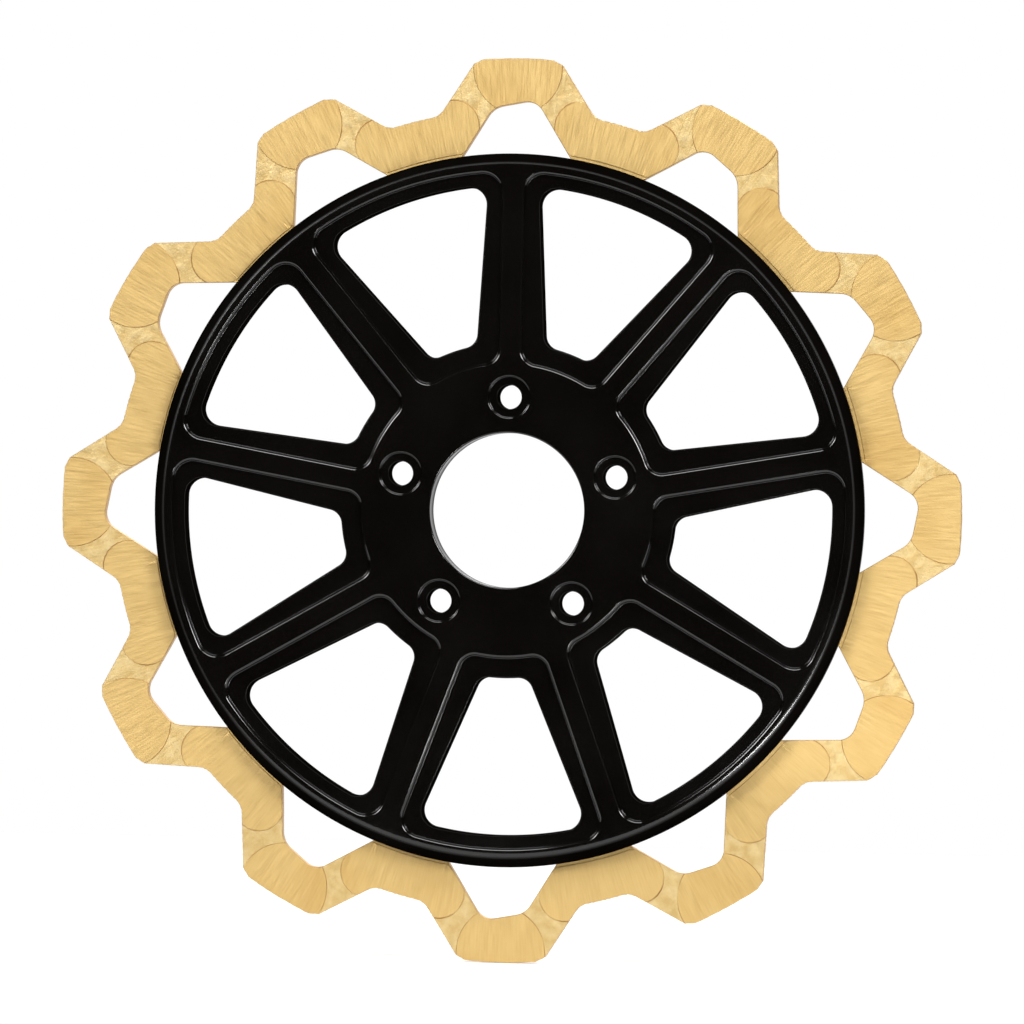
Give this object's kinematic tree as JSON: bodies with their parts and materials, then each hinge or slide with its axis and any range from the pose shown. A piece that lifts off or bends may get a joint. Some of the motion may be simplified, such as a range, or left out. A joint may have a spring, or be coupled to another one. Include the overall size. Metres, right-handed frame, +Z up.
{
  "type": "floating brake disc rotor",
  "caption": "Floating motorcycle brake rotor: a gold waved friction ring carried behind the rim of a gloss black spoked carrier with bolt holes around a central bore.",
  "frame": {"origin": "on the spin axis, midway between the carrier's outboard face and the rear of the ring screws' heads", "axes": "+Y along the spin axis from the outboard face towards the wheel hub, +Z up through a spoke, a hub bolt hole and a lobe of the ring, +X to the right of someone facing the outboard face"},
  "size_m": [0.33, 0.0182, 0.33],
  "materials": {
    "carrier_coat": "gloss black powder coat on billet aluminium",
    "ring_steel": "gold nitride coating over radially ground stainless steel",
    "bobbin_steel": "turned stainless steel",
    "spring_steel": "blued spring steel strip",
    "washer_steel": "stamped stainless steel",
    "screw_steel": "cold-headed stainless steel"
  },
  "bodies": {
    "carrier_body": {"carrier": "carrier_coat", "drive_bobbin_01": "bobbin_steel", "drive_bobbin_02": "bobbin_steel", "drive_bobbin_03": "bobbin_steel", "drive_bobbin_04": "bobbin_steel", "drive_bobbin_05": "bobbin_steel", "drive_bobbin_06": "bobbin_steel", "drive_bobbin_07": "bobbin_steel", "drive_bobbin_08": "bobbin_steel", "drive_bobbin_09": "bobbin_steel", "drive_bobbin_10": "bobbin_steel", "drive_bobbin_11": "bobbin_steel", "drive_bobbin_12": "bobbin_steel", "wave_washer_01": "spring_steel", "wave_washer_02": "spring_steel", "wave_washer_03": "spring_steel", "wave_washer_04": "spring_steel", "wave_washer_05": "spring_steel", "wave_washer_06": "spring_steel", "wave_washer_07": "spring_steel", "wave_washer_08": "spring_steel", "wave_washer_09": "spring_steel", "wave_washer_10": "spring_steel", "wave_washer_11": "spring_steel", "wave_washer_12": "spring_steel", "retaining_washer_01": "washer_steel", "retaining_washer_02": "washer_steel", "retaining_washer_03": "washer_steel", "retaining_washer_04": "washer_steel", "retaining_washer_05": "washer_steel", "retaining_washer_06": "washer_steel", "retaining_washer_07": "washer_steel", "retaining_washer_08": "washer_steel", "retaining_washer_09": "washer_steel", "retaining_washer_10": "washer_steel", "retaining_washer_11": "washer_steel", "retaining_washer_12": "washer_steel", "ring_screw_01": "screw_steel", "ring_screw_02": "screw_steel", "ring_screw_03": "screw_steel", "ring_screw_04": "screw_steel", "ring_screw_05": "screw_steel", "ring_screw_06": "screw_steel", "ring_screw_07": "screw_steel", "ring_screw_08": "screw_steel", "ring_screw_09": "screw_steel", "ring_screw_10": "screw_steel", "ring_screw_11": "screw_steel", "ring_screw_12": "screw_steel"},
    "ring_body": {"friction_ring": "ring_steel"}
  },
  "joints": [
    {"name": "ring_float", "type": "slide", "parent": "carrier_body", "child": "ring_body", "axis": [0, 1, 0], "range_m": [0, 0.0004], "stiffness_N_per_m": 60000, "springref_m": -0.0002, "deforming": ["wave_washer_01", "wave_washer_02", "wave_washer_03", "wave_washer_04", "wave_washer_05", "wave_washer_06", "wave_washer_07", "wave_washer_08", "wave_washer_09", "wave_washer_10", "wave_washer_11", "wave_washer_12"]}
  ]
}
